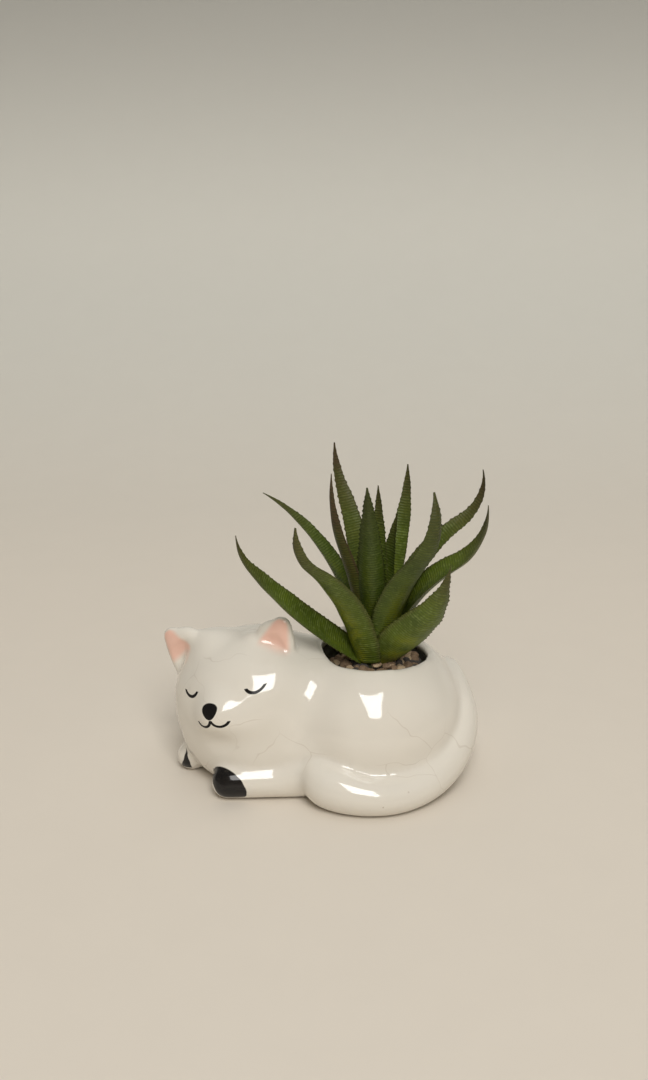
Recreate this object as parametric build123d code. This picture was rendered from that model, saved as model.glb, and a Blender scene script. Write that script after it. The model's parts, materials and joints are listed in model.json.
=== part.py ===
"""A sleeping cat planter: a hollow glazed casting with a lift-out artificial aloe. Millimetres, +Z up.

The origin lies on the ground under the centre of the mouth in the cat's back. The head is at -X and the
side with the face and the tail's end is -Y. Every piece is written to parts/ as its own STEP file.
"""
import math
import os
from dataclasses import dataclass

from build123d import *

# Casting: walls, mouth and masses
WALL = 4.0
FLOOR = 4.0
MOUTH_LONG = 20.4
MOUTH_SHORT = 18.0
MOUTH_TURN = 25.0
RIM_ROUND = 1.6
RIM_NEAR = 0.002
SKIN_CENTRE = (-22.0, 0.0, 24.0)
SKIN_RINGS = 19
SKIN_SPOKES = 28
SKIN_REACH = 90.0
BODY_CENTRE = (-2.0, 1.0, 20.5)
BODY_SEMI = (37.5, 39.0, 33.0)
BODY_ROLL = 4.0
HEAD_CENTRE = (-47.0, -1.0, 31.0)
HEAD_SEMI = (31.5, 29.0, 24.5)
HEAD_YAW = -21.0
HEAD_ROLL = -14.5
CHEST_CENTRE = (-43.5, -4.0, 14.0)
CHEST_SEMI = (29.0, 27.0, 20.0)
MUZZLE_OUT = 26.0
MUZZLE_SEMI = (10.5, 6.0, 7.0)
NECK_BLEND = 9.0
CHEST_BLEND = 12.0
MUZZLE_BLEND = 6.0

# Ears, in the head's own axes
EAR_SPREAD = 17.6
EAR_SHIFT = -2.6
EAR_BACK = -4.0
EAR_UP = 14.8
EAR_SPLAY = 29.0
EAR_R = 9.3
EAR_LENGTH = 17.0
EAR_TIP_R = 4.0
EAR_FLAT = 0.55
EAR_BULGE = (0.72, 0.5)
EAR_CROOK = (0.55, 0.15)
EAR_SHOULDER = (0.9, 0.55)
EAR_SCOOP = 0.76
EAR_SCOOP_OUT = 5.0
EAR_SCOOP_DROP = 1.0

# Forelegs and tail
NEAR_ELBOW = (-26.0, -27.5, 7.0)
NEAR_ELBOW_R = 7.2
NEAR_PAW = (-55.5, -29.0, 6.2)
NEAR_PAW_R = 6.4
FAR_ELBOW = (-58.0, 1.0, 6.0)
FAR_ELBOW_R = 6.0
FAR_PAW = (-71.0, -7.0, 5.6)
FAR_PAW_R = 6.2
TAIL_LINE = (
    (20.0, 19.0, 30.0),
    (30.0, 12.5, 31.5),
    (33.5, -4.0, 24.0),
    (28.0, -22.0, 12.0),
    (14.0, -36.0, 6.8),
    (-4.0, -41.0, 6.8),
    (-19.5, -34.5, 9.0),
)
TAIL_RADII = (4.5, 5.9, 6.5, 7.0, 6.8, 7.2, 8.6)
TAIL_DOME = (0.5, 0.85, 0.98)

# Insert: foam core, soil, crown and peg
INSERT_GAP = 0.7
CORE_TAPER = 1.5
CORE_TOP = 39.5
SOIL_DEPTH = 3.0
CROWN_R = 6.5
CROWN_TIP_R = 1.8
CROWN_HEIGHT = 15.0
PEG_R = 3.0
PEG_LENGTH = 20.0
PEG_GAP = 0.1

# Gravel: two rings of stones on the soil; the sizes repeat, and the place under the broad front leaf is free
STONE_HEIGHT = 3.0
STONE_CUT = 0.8
STONE_LONG_CUT = 1.2
STONE_LENGTHS = (4.0, 3.5, 4.3, 3.3)
STONE_WIDTHS = (3.1, 3.4, 2.9)
STONE_RISES = (1.0, 0.8, 1.15, 0.9, 1.05)
STONE_TURN = 47.0
OUTER_STONES = 16
OUTER_MARGIN = 3.2
INNER_PLACES = 8
INNER_STONES = 7
INNER_MARGIN = 7.4
INNER_START = 7.25

# Leaves
LEAF_SEAT = 1.5
LEAF_KEEL = 0.3
LEAF_CUP = 0.12
LEAF_EDGE = 0.06
LEAF_PROFILE = ((0.0, 0.85), (0.12, 0.95), (0.3, 1.0), (0.5, 0.92), (0.7, 0.66), (0.86, 0.36), (1.0, 0.07))

SOIL_TOP = CORE_TOP + SOIL_DEPTH
TINY = 1e-6


@dataclass(frozen=True)
class Mass:
    """A rounded mass of the casting: an ellipsoid with a turn about Z, then a roll about its own Y."""

    centre: tuple
    semi: tuple
    yaw: float = 0.0
    roll: float = 0.0

    def distance(self, point):
        """Return about how far a point lies outside the mass, or inside it when negative."""
        x, y, z = (p - c for p, c in zip(point, self.centre))
        yaw = math.radians(self.yaw)
        roll = math.radians(self.roll)
        x, y = x * math.cos(yaw) + y * math.sin(yaw), y * math.cos(yaw) - x * math.sin(yaw)
        x, z = x * math.cos(roll) - z * math.sin(roll), x * math.sin(roll) + z * math.cos(roll)
        share = math.hypot(*(q / s for q, s in zip((x, y, z), self.semi)))
        rate = math.hypot(*(q / s**2 for q, s in zip((x, y, z), self.semi)))
        return share * (share - 1.0) / max(rate, TINY)


def blend(first, second, width):
    """Join two distances with a soft fillet about width wide."""
    h = min(max(0.5 + 0.5 * (second - first) / width, 0.0), 1.0)
    return second + (first - second) * h - width * h * (1.0 - h)


HEAD_AXES = Pos(*HEAD_CENTRE) * Rot(0, 0, HEAD_YAW) * Rot(0, HEAD_ROLL, 0)
BODY = Mass(BODY_CENTRE, BODY_SEMI, roll=BODY_ROLL)
HEAD = Mass(HEAD_CENTRE, HEAD_SEMI, HEAD_YAW, HEAD_ROLL)
CHEST = Mass(CHEST_CENTRE, CHEST_SEMI)
MUZZLE = Mass(tuple((HEAD_AXES * Pos(0, -MUZZLE_OUT, 0)).position), MUZZLE_SEMI, HEAD_YAW, HEAD_ROLL)


def skin_distance(point):
    """Return the distance to the casting's skin, with neck, chest and muzzle blended in."""
    joined = blend(BODY.distance(point), HEAD.distance(point), NECK_BLEND)
    joined = blend(joined, CHEST.distance(point), CHEST_BLEND)
    return blend(joined, MUZZLE.distance(point), MUZZLE_BLEND)


def skin_point(polar, around, inset):
    """Return the skin's point in one direction from the skin's centre, set in from the outside by inset."""
    way = (-math.cos(polar), math.sin(polar) * math.cos(around), math.sin(polar) * math.sin(around))
    near, far = 0.0, SKIN_REACH
    while far - near > TINY:
        middle = (near + far) / 2
        point = tuple(c + middle * w for c, w in zip(SKIN_CENTRE, way))
        if skin_distance(point) + inset < 0:
            near = middle
        else:
            far = middle
    return tuple(c + near * w for c, w in zip(SKIN_CENTRE, way))


def skin_solid(inset=0.0):
    """Loft the blended skin through rings about an axis from the face's end to the rump."""
    rings = [Vertex(*skin_point(0.0, 0.0, inset))]
    for ring in range(1, SKIN_RINGS + 1):
        polar = math.pi * ring / (SKIN_RINGS + 1)
        turns = (2 * math.pi * spoke / SKIN_SPOKES - math.pi / 2 for spoke in range(SKIN_SPOKES))
        rings.append(Wire([Spline(*(skin_point(polar, turn, inset) for turn in turns), periodic=True)]))
    rings.append(Vertex(*skin_point(math.pi, 0.0, inset)))
    return Solid.make_loft(rings)


def on_circle(radius, angle, height=0.0):
    """Return a point on a circle about (0, height)."""
    return (radius * math.cos(angle), height + radius * math.sin(angle))


def limb(start, start_r, end, end_r):
    """Return a rounded, tapered limb between two points."""
    line = Vector(*end) - Vector(*start)
    span = line.length
    lean = math.asin((start_r - end_r) / span)
    low = (start_r * math.cos(lean), start_r * math.sin(lean))
    high = (end_r * math.cos(lean), span + end_r * math.sin(lean))
    middle = math.pi / 4 - lean / 2
    outline = [
        ThreePointArc((0, -start_r), on_circle(start_r, (lean - math.pi / 2) / 2), low),
        Line(low, high),
        ThreePointArc(high, on_circle(end_r, lean + middle, span), (0, span + end_r)),
        Line((0, span + end_r), (0, -start_r)),
    ]
    profile = Plane.XZ * make_face(outline)
    return Plane(start, z_dir=line) * revolve(profile, Axis.Z)


def tail_solid():
    """Loft the tail's round sections along its line and close the tip with a dome."""
    line = Spline(*TAIL_LINE)
    sections = []
    for step, radius in enumerate(TAIL_RADII):
        place = line.param_at_point(Vector(*TAIL_LINE[step]))
        sections.append(Plane(line @ place, z_dir=line % place) * Circle(radius))
    tip = Plane(line @ 1, z_dir=line % 1)
    end = TAIL_RADII[-1]
    for share in TAIL_DOME:
        sections.append(tip.offset(end * share) * Circle(end * math.sqrt(1 - share**2)))
    return loft(sections)


def ear_cone(share=1.0):
    """Return a rounded, flattened cone for an ear, or for its scoop at a smaller share."""
    low_r, tip_r, length = EAR_R * share, EAR_TIP_R * share, EAR_LENGTH * share
    bulge = (EAR_BULGE[0] * low_r, EAR_BULGE[1] * length)
    crook = (EAR_CROOK[0] * tip_r, length - EAR_CROOK[1] * tip_r)
    shoulder = (EAR_SHOULDER[0] * tip_r, length - EAR_SHOULDER[1] * tip_r)
    outline = [
        Line((0, -low_r), (0, length)),
        ThreePointArc((0, length), crook, shoulder),
        Spline(shoulder, bulge, (low_r, 0)),
        ThreePointArc((low_r, 0), on_circle(low_r, -math.pi / 4), (0, -low_r)),
    ]
    cone = revolve(Plane.XZ * make_face(outline), Axis.Z)
    return scale(cone, by=(1, EAR_FLAT, 1))


def ear(side):
    """Return one ear, scooped at the front, and its place on the head. Side is -1 or 1."""
    place = HEAD_AXES * Pos(side * EAR_SPREAD + EAR_SHIFT, EAR_BACK, EAR_UP) * Rot(0, side * EAR_SPLAY, 0)
    scoop = Pos(0, -EAR_SCOOP_OUT, EAR_SCOOP_DROP) * ear_cone(EAR_SCOOP)
    return place * (ear_cone() - scoop)


def mouth_ellipse(margin=0.0):
    """Return the mouth's oval, smaller by a margin all round."""
    return Rot(0, 0, MOUTH_TURN) * Ellipse(MOUTH_LONG - margin, MOUTH_SHORT - margin)


def is_rim(edge):
    """Tell whether an edge is the mouth's upper edge."""
    turn = math.radians(MOUTH_TURN)
    for share in (0.2, 0.5, 0.8):
        x, y, z = edge @ share
        along = (x * math.cos(turn) + y * math.sin(turn)) / MOUTH_LONG
        across = (y * math.cos(turn) - x * math.sin(turn)) / MOUTH_SHORT
        if abs(math.hypot(along, across) - 1) > RIM_NEAR or skin_distance((x, y, z)) < -WALL / 2:
            return False
    return True


def cat_pot():
    """Return the hollow casting with its mouth, ears, forelegs and tail."""
    shape = skin_solid()
    shape = shape + [ear(-1), ear(1), tail_solid()]
    shape = shape + limb(NEAR_ELBOW, NEAR_ELBOW_R, NEAR_PAW, NEAR_PAW_R)
    shape = shape + limb(FAR_ELBOW, FAR_ELBOW_R, FAR_PAW, FAR_PAW_R)
    above = Box(4 * SKIN_REACH, 4 * SKIN_REACH, 2 * SKIN_REACH, align=(Align.CENTER, Align.CENTER, Align.MIN))
    shape = shape & above
    hollow = skin_solid(WALL) & (Pos(0, 0, FLOOR) * above)
    mouth = Pos(0, 0, SOIL_TOP / 2) * extrude(mouth_ellipse(), SKIN_REACH)
    shape = shape - hollow - mouth
    return fillet(shape.edges().filter_by(is_rim), RIM_ROUND)


def foam_core():
    """Return the tapered plug that stands on the pot's floor, with a socket for the stem's peg."""
    foot = Pos(0, 0, FLOOR) * mouth_ellipse(INSERT_GAP + CORE_TAPER)
    head = Pos(0, 0, CORE_TOP) * mouth_ellipse(INSERT_GAP)
    socket = Pos(0, 0, CORE_TOP) * Cylinder(PEG_R + PEG_GAP, 2 * (PEG_LENGTH - SOIL_DEPTH))
    return loft([foot, head]) - socket


def soil_bed():
    """Return the dark disc on the foam, open in the middle for the peg."""
    disc = Pos(0, 0, CORE_TOP) * extrude(mouth_ellipse(INSERT_GAP), SOIL_DEPTH)
    return disc - Pos(0, 0, SOIL_TOP) * Cylinder(PEG_R + PEG_GAP, 4 * SOIL_DEPTH)


def crown_r(rise):
    """Return the crown's radius at a height above the soil."""
    return CROWN_R + (CROWN_TIP_R - CROWN_R) * rise / CROWN_HEIGHT


def plant_stem():
    """Return the crown that carries the leaves and the peg under it."""
    low = (Align.CENTER, Align.CENTER, Align.MIN)
    crown = Pos(0, 0, SOIL_TOP) * Cone(CROWN_R, CROWN_TIP_R, CROWN_HEIGHT, align=low)
    peg = Pos(0, 0, SOIL_TOP - PEG_LENGTH) * Cylinder(PEG_R, PEG_LENGTH, align=low)
    return crown + peg


def stone(index):
    """Return one cut stone with a flat bottom; its sizes repeat through the lists."""
    length = STONE_LENGTHS[index % len(STONE_LENGTHS)]
    width = STONE_WIDTHS[index % len(STONE_WIDTHS)]
    height = STONE_HEIGHT * STONE_RISES[index % len(STONE_RISES)]
    block = Box(length, width, height, align=(Align.CENTER, Align.CENTER, Align.MIN))
    corners = block.edges().filter_by(Axis.Z)
    block = chamfer(corners, STONE_CUT, STONE_LONG_CUT)
    top = block.faces().sort_by(Axis.Z)[-1].edges()
    return chamfer(top, STONE_CUT)


def gravel():
    """Return the stones of both rings, each in its place on the soil."""
    stones = []
    outer = (OUTER_STONES, OUTER_STONES, OUTER_MARGIN, 0.0)
    inner = (INNER_STONES, INNER_PLACES, INNER_MARGIN, INNER_START)
    for count, places, margin, start in (outer, inner):
        for step in range(count):
            index = len(stones)
            turn = 2 * math.pi * (step + start) / places
            x = (MOUTH_LONG - margin) * math.cos(turn)
            y = (MOUTH_SHORT - margin) * math.sin(turn)
            place = Rot(0, 0, MOUTH_TURN) * Pos(x, y, SOIL_TOP) * Rot(0, 0, STONE_TURN * index)
            stones.append(place * stone(index))
    return stones


@dataclass(frozen=True)
class Leaf:
    """One leaf: its seat on the crown, its lean and upward bends, its lengths, width and roll."""

    azimuth: float
    rise: float
    lean: float
    bend: float
    length: float
    tip_bend: float
    tip_length: float
    width: float
    roll: float = 0.0

    def spine(self, share):
        """Return radius, height and lean, in radians, at a share of the leaf's length."""
        run = share * (self.length + self.tip_length)
        radius = crown_r(self.rise) - LEAF_SEAT
        height = SOIL_TOP + self.rise
        lean = math.radians(self.lean)
        for bend, length in ((self.bend, self.length), (self.tip_bend, self.tip_length)):
            part = min(run, length)
            turn = math.radians(bend) * part / length
            chord = part * math.sin(turn / 2) / (turn / 2) if abs(turn) > TINY else part
            radius += chord * math.cos(lean + turn / 2)
            height += chord * math.sin(lean + turn / 2)
            lean += turn
            run -= part
        return radius, height, lean

    def section(self, share, wide):
        """Return the channelled, keeled section at a share of the leaf's length."""
        radius, height, lean = self.spine(share)
        turn = math.radians(self.azimuth)
        across = (-math.sin(turn), math.cos(turn), 0)
        along = (math.cos(lean) * math.cos(turn), math.cos(lean) * math.sin(turn), math.sin(lean))
        middle = (radius * math.cos(turn), radius * math.sin(turn), height)
        width = wide * self.width
        half = width / 2
        edge = LEAF_EDGE * width
        outline = [
            ThreePointArc((-half, 0), (0, -LEAF_CUP * width), (half, 0)),
            Line((half, 0), (half, -edge)),
            ThreePointArc((half, -edge), (0, -LEAF_KEEL * width), (-half, -edge)),
            Line((-half, -edge), (-half, 0)),
        ]
        return Plane(middle, x_dir=across, z_dir=along) * Rot(0, 0, self.roll) * make_face(outline)

    def blade(self):
        """Loft the leaf through its sections."""
        return loft([self.section(*row) for row in LEAF_PROFILE])


LEAVES = (
    Leaf(203, 3, 37.5, 11.5, 62, 34, 15.5, 12, roll=-35),
    Leaf(153, 3, 86, -53, 62, -15.5, 15.5, 10),
    Leaf(225, 3, 79, -44, 56, 58.5, 19, 17),
    Leaf(212, 6.5, 84.5, -18, 45, 25, 30, 9.5),
    Leaf(127, 6, 89, -31, 62, 29, 18, 11),
    Leaf(258, 9, 77, -3, 55, -4, 15.5, 11),
    Leaf(60, 11.5, 87, 4.5, 44, 4, 15.5, 8),
    Leaf(25, 8, 89, -8.5, 37.5, -5, 14, 9, roll=20),
    Leaf(62, 6, 69.5, -8, 44.5, 31.5, 26.5, 9.5),
    Leaf(306, 5, 83.5, -39, 51.5, 63.5, 29, 16),
    Leaf(12, 3, 89, -56, 62, 70, 22.5, 10, roll=25),
    Leaf(345, 2.5, 85.5, -53, 49.5, 59, 28, 14, roll=20),
    Leaf(318, 3.6, 49, -2.5, 28, 34, 28, 19, roll=5),
    Leaf(95, 2.5, 58, -20, 42, 20, 14, 10),
)


def leaf_solids():
    """Return the leaves, each cut back to where it meets the crown and the leaves before it."""
    stem = plant_stem()
    solids = []
    for leaf in LEAVES:
        blade = leaf.blade() - [stem, *solids]
        solids.append(max(blade.solids(), key=lambda piece: piece.volume))
    return solids


def main():
    """Build every piece and write it to parts/."""
    os.makedirs("parts", exist_ok=True)
    stones = gravel()
    pieces = {
        "cat_pot": cat_pot(),
        "foam_core": foam_core(),
        "soil_bed": soil_bed(),
        "plant_stem": plant_stem(),
        "gravel_tan": Compound(children=stones[0::3]),
        "gravel_brown": Compound(children=stones[1::3]),
        "gravel_dark": Compound(children=stones[2::3]),
    }
    for number, leaf in enumerate(leaf_solids(), 1):
        pieces[f"leaf_{number:02d}"] = leaf
    for name, piece in pieces.items():
        export_step(piece, f"parts/{name}.step")


if __name__ == "__main__":
    main()
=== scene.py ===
"""Dress the sleeping cat planter: glazed casting, painted face, aloe leaves, gravel and studio.

Everything is in metres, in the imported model's own frame: +Z up, the head at -X, the face towards -Y.
"""
import json
import logging
import math
import random
from dataclasses import dataclass, field
from enum import Enum
from typing import Sequence

import bpy
from mathutils import Euler, Matrix, Vector, noise

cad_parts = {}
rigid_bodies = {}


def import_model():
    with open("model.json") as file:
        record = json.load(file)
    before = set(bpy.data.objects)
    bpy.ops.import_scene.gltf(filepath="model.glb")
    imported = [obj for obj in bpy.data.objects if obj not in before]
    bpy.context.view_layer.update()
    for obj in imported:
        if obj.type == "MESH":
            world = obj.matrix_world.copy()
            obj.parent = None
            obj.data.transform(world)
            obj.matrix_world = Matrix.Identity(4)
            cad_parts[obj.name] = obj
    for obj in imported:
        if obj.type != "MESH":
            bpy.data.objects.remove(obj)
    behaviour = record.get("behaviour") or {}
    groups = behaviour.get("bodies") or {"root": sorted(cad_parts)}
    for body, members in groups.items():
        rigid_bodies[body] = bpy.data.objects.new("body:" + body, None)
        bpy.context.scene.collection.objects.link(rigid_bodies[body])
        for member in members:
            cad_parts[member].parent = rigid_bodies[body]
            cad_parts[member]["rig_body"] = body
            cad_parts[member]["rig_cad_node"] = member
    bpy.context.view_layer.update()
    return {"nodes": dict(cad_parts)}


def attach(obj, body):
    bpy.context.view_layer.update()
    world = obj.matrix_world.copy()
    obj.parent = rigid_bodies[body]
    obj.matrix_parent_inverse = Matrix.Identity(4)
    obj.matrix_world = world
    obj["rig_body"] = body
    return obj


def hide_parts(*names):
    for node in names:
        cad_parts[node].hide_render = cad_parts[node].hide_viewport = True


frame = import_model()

log = logging.getLogger("cat_planter")

MM = 0.001
WELD = 0.002 * MM
TINY = 1e-6
# Socket numbers of a Mix node in its colour mode.
MIX_SHARE = 0
MIX_FIRST = 6
MIX_SECOND = 7
MIX_COLOUR = 2
Colour = tuple[float, float, float]
Socket = bpy.types.NodeSocket


class Body(Enum):
    """The bodies that the pieces move with."""

    POT = "pot"
    INSERT = "plant_insert"


class Slot(Enum):
    """The record's material slots, one named for each dressed piece."""

    GLAZE = "glaze"
    SOIL = "soil"
    TAN = "tan_stone"
    BROWN = "brown_stone"
    DARK = "dark_stone"
    LEAF = "leaf"


def deselect() -> None:
    """Select nothing."""
    bpy.ops.object.select_all(action="DESELECT")


def activate(piece: bpy.types.Object) -> bpy.types.Object:
    """Select one piece alone and make it active.

    Args:
        piece: The object to work on.

    Returns:
        The same object.
    """
    deselect()
    piece.select_set(True)
    bpy.context.view_layer.objects.active = piece
    return piece


def apply_modifier(piece: bpy.types.Object, kind: str, **settings: object) -> None:
    """Add one modifier with its settings and apply it.

    Args:
        piece: The object that gets the modifier.
        kind: Blender's name of the modifier's type.
        settings: Values for the modifier's own fields.
    """
    activate(piece)
    modifier = piece.modifiers.new(kind.lower(), kind)
    for name, value in settings.items():
        setattr(modifier, name, value)
    bpy.ops.object.modifier_apply(modifier=modifier.name)


def finish_mesh(piece: bpy.types.Object) -> None:
    """Put a piece's place into its mesh, close doubles, turn faces outwards and shade it smooth."""
    activate(piece)
    bpy.ops.object.transform_apply(location=True, rotation=True, scale=True)
    bpy.ops.object.mode_set(mode="EDIT")
    bpy.ops.mesh.select_all(action="SELECT")
    bpy.ops.mesh.remove_doubles(threshold=WELD)
    bpy.ops.mesh.normals_make_consistent(inside=False)
    bpy.ops.object.mode_set(mode="OBJECT")
    bpy.ops.object.shade_smooth()


def dress(piece: bpy.types.Object, material: bpy.types.Material) -> None:
    """Give a piece one material all over."""
    piece.data.materials.clear()
    piece.data.materials.append(material)


def enrol(piece: bpy.types.Object, body: Body, slot: Slot, *nodes: str) -> None:
    """Make a piece ride on its body and stand for its nodes.

    Args:
        piece: The finished object.
        body: The body that it moves with.
        slot: The record's slot for its finish; not used.
        nodes: The CAD nodes that it replaces.
    """
    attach(piece, body.value)
    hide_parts(*nodes)
    log.info("%s: %d vertices, rides on %s", piece.name, len(piece.data.vertices), body.value)


class Shader:
    """One material's node tree, with short calls that add nodes and return their sockets."""

    def __init__(self, name: str) -> None:
        """Start a material with a Principled surface."""
        self.material = bpy.data.materials.new(name)
        self.material.use_nodes = True
        self.tree = self.material.node_tree
        self.surface = self.tree.nodes["Principled BSDF"]
        self.place = self.add("ShaderNodeTexCoord").outputs["Object"]

    def add(self, kind: str, **settings: object) -> bpy.types.Node:
        """Add a node and set its fields.

        Args:
            kind: Blender's name of the node's type.
            settings: Values for the node's own fields.

        Returns:
            The new node.
        """
        node = self.tree.nodes.new(kind)
        for name, value in settings.items():
            setattr(node, name, value)
        return node

    def feed(self, socket: Socket, value: object) -> None:
        """Join a socket to another or give it a constant."""
        if isinstance(value, Socket):
            self.tree.links.new(value, socket)
        else:
            socket.default_value = value

    def math(self, operation: str, *values: object, clamp: bool = False) -> Socket:
        """Add a Math node.

        Args:
            operation: Blender's name of the operation.
            values: One to three sockets or numbers.
            clamp: Keep the result between 0 and 1.

        Returns:
            The result's socket.
        """
        node = self.add("ShaderNodeMath", operation=operation, use_clamp=clamp)
        for socket, value in zip(node.inputs, values):
            self.feed(socket, value)
        return node.outputs[0]

    def step(self, value: Socket, low: float, high: float) -> Socket:
        """Return 0 below low, 1 above high and a smooth rise between; low may be the larger.

        Args:
            value: The socket to read.
            low: Where the result is 0.
            high: Where the result is 1.

        Returns:
            The result's socket.
        """
        node = self.add("ShaderNodeMapRange", interpolation_type="SMOOTHSTEP")
        for name, number in (("From Min", low), ("From Max", high)):
            node.inputs[name].default_value = number
        self.feed(node.inputs["Value"], value)
        return node.outputs[0]

    def blend(self, share: object, first: object, second: object) -> Socket:
        """Mix two colours.

        Args:
            share: How much of the second, from 0 to 1.
            first: A colour or a socket.
            second: A colour or a socket.

        Returns:
            The mixed colour's socket.
        """
        node = self.add("ShaderNodeMix", data_type="RGBA")
        self.feed(node.inputs[MIX_SHARE], share)
        for place, value in ((MIX_FIRST, first), (MIX_SECOND, second)):
            self.feed(node.inputs[place], value if isinstance(value, Socket) else (*value, 1.0))
        return node.outputs[MIX_COLOUR]

    def cloud(self, size: float, detail: float = 2.0) -> Socket:
        """Return a soft noise between 0 and 1.

        Args:
            size: The blotches' size in metres.
            detail: How many finer layers it has.

        Returns:
            The noise value's socket.
        """
        node = self.add("ShaderNodeTexNoise")
        self.feed(node.inputs["Vector"], self.place)
        node.inputs["Scale"].default_value = 1.0 / size
        node.inputs["Detail"].default_value = detail
        return node.outputs["Fac"]

    def turned(self, where: Socket, centre: Vector, turn: Euler) -> Socket:
        """Return coordinates in a frame of its own.

        Args:
            where: The coordinates to read.
            centre: The frame's origin.
            turn: The frame's turn.

        Returns:
            The new coordinates' socket.
        """
        node = self.add("ShaderNodeMapping", vector_type="TEXTURE")
        node.inputs["Location"].default_value = centre
        node.inputs["Rotation"].default_value = turn
        self.feed(node.inputs["Vector"], where)
        return node.outputs[0]

    def split(self, where: Socket) -> tuple[Socket, Socket, Socket]:
        """Return the three parts of a vector."""
        node = self.add("ShaderNodeSeparateXYZ")
        self.feed(node.inputs[0], where)
        return node.outputs[0], node.outputs[1], node.outputs[2]

    def millimetres(self, where: Socket) -> list[Socket]:
        """Return the three parts of a place, in millimetres."""
        return [self.math("DIVIDE", part, MM) for part in self.split(where)]

    def oval(self, first: Socket, first_half: object, second: Socket, second_half: object) -> Socket:
        """Return a value that is 1 on an oval's edge and less inside.

        Args:
            first: The way along one axis.
            first_half: Half the oval's size along it.
            second: The way along the other axis.
            second_half: Half the oval's size along that.

        Returns:
            The value's socket.
        """
        wide = self.math("POWER", self.math("DIVIDE", first, first_half), 2.0)
        tall = self.math("POWER", self.math("DIVIDE", second, second_half), 2.0)
        return self.math("ADD", wide, tall)

    def away(self, first: Socket, second: Socket) -> Socket:
        """Return the length of a flat vector from its two parts."""
        squares = self.math("ADD", self.math("POWER", first, 2.0), self.math("POWER", second, 2.0))
        return self.math("SQRT", squares)

    def attribute(self, name: str) -> Socket:
        """Return a number that the mesh carries at its points."""
        return self.add("ShaderNodeAttribute", attribute_name=name).outputs["Fac"]

    def bump(self, height: Socket, depth: float, strength: float = 1.0) -> None:
        """Make the surface's normal follow a height.

        Args:
            height: The height's socket, from 0 to 1.
            depth: The height's real depth in metres.
            strength: How much of it shows.
        """
        node = self.add("ShaderNodeBump")
        node.inputs["Strength"].default_value = strength
        node.inputs["Distance"].default_value = depth
        self.feed(node.inputs["Height"], height)
        self.feed(self.surface.inputs["Normal"], node.outputs[0])

    def set(self, **values: object) -> None:
        """Set the surface's sockets; an underscore stands for a space."""
        for name, value in values.items():
            self.feed(self.surface.inputs[name.replace("_", " ")], value)


@dataclass(frozen=True)
class HeadFrame:
    """The cat's head: its centre and its turn, in metres and radians."""

    centre: Vector = field(default_factory=lambda: Vector((-47.0, -1.0, 31.0)) * MM)
    turn: Euler = field(default_factory=lambda: Euler((0.0, math.radians(-14.5), math.radians(-21.0))))
    ear_spread: float = 17.6 * MM
    ear_shift: float = -2.6 * MM
    ear_back: float = -4.0 * MM
    ear_up: float = 14.8 * MM
    ear_splay: float = math.radians(29.0)


@dataclass(frozen=True)
class Arc:
    """A painted arc on the face, in the head's x and z, in millimetres.

    It is the part of a circle under the height below; slope tilts that limit.
    """

    x: float
    z: float
    radius: float
    below: float
    half_width: float = 0.52
    slope: float = 0.0
    soft_side: float = 0.08
    soft_end: float = 0.15


@dataclass(frozen=True)
class NosePaint:
    """The painted nose, an oval that widens upwards, in the head's x and z, in millimetres."""

    x: float = -1.95
    z: float = 5.6
    half_width: float = 3.1
    widening: float = 0.4
    half_height: float = 2.75
    outer: float = 1.08
    inner: float = 0.92


@dataclass(frozen=True)
class NearToes:
    """The tilted oval of black paint on the near forepaw, in millimetres."""

    x: float = -54.8
    z: float = 6.6
    tilt_cos: float = 0.814
    tilt_sin: float = 0.581
    half_long: float = 7.2
    half_short: float = 5.2
    steepness: float = 3.0
    leg_y: float = -29.0
    leg_z: float = 6.2
    leg_reach: float = 7.2
    low: float = 1.8
    low_blend: float = 1.5


@dataclass(frozen=True)
class FarToes:
    """The narrow triangle of black paint on the far forepaw, in millimetres."""

    x: float = -72.9
    half_width: float = 2.8
    narrowing: float = 0.27
    low: float = 2.0
    back: float = -8.0


@dataclass(frozen=True)
class EarPaint:
    """The limits of the pink inside an ear, in the ear's own frame, in millimetres."""

    narrowing: float = 0.36
    outer: float = 9.2
    inner: float = 6.8
    low_start: float = 3.6
    low_full: float = 6.8
    front_start: float = -0.6
    front_full: float = -1.6
    strength: float = 0.9


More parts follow.
